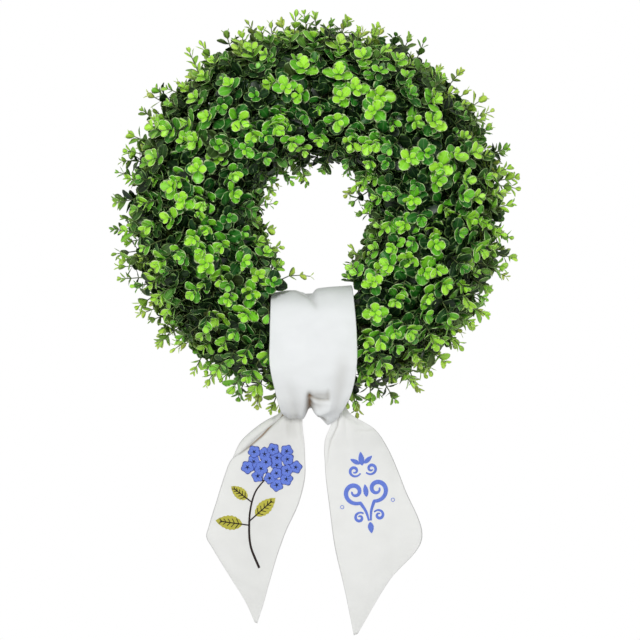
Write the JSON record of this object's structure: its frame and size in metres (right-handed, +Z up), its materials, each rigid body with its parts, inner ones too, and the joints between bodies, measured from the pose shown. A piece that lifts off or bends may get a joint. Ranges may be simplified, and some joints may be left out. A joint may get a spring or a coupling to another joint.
{
  "type": "boxwood wreath",
  "caption": "Round wreath of leafy boxwood sprigs on a ring of twisted vines, with a broad cloth sash wrapped round its bottom and pointed tails hanging below.",
  "frame": {"origin": "where a door hook bears on the underside of the vine ring, at its top", "axes": "+Z up as it hangs, -Y out of the front of the wreath, +X to the viewer's right"},
  "size_m": [0.6073, 0.1341, 0.9442],
  "materials": {
    "vine": "matte",
    "leaf": "satin",
    "cloth": "matte"
  },
  "bodies": {
    "root": {"vine_ring": "vine", "sprig_bunch_01": "leaf", "sprig_bunch_02": "leaf", "sprig_bunch_03": "leaf", "sprig_bunch_04": "leaf", "sprig_bunch_05": "leaf", "sprig_bunch_06": "leaf", "sprig_bunch_07": "leaf", "sprig_bunch_08": "leaf", "sprig_bunch_09": "leaf", "sprig_bunch_10": "leaf", "sprig_bunch_11": "leaf", "sprig_bunch_12": "leaf", "sprig_bunch_13": "leaf", "sprig_bunch_14": "leaf", "sprig_bunch_under_sash": "leaf", "sash": "cloth"}
  },
  "joints": []
}
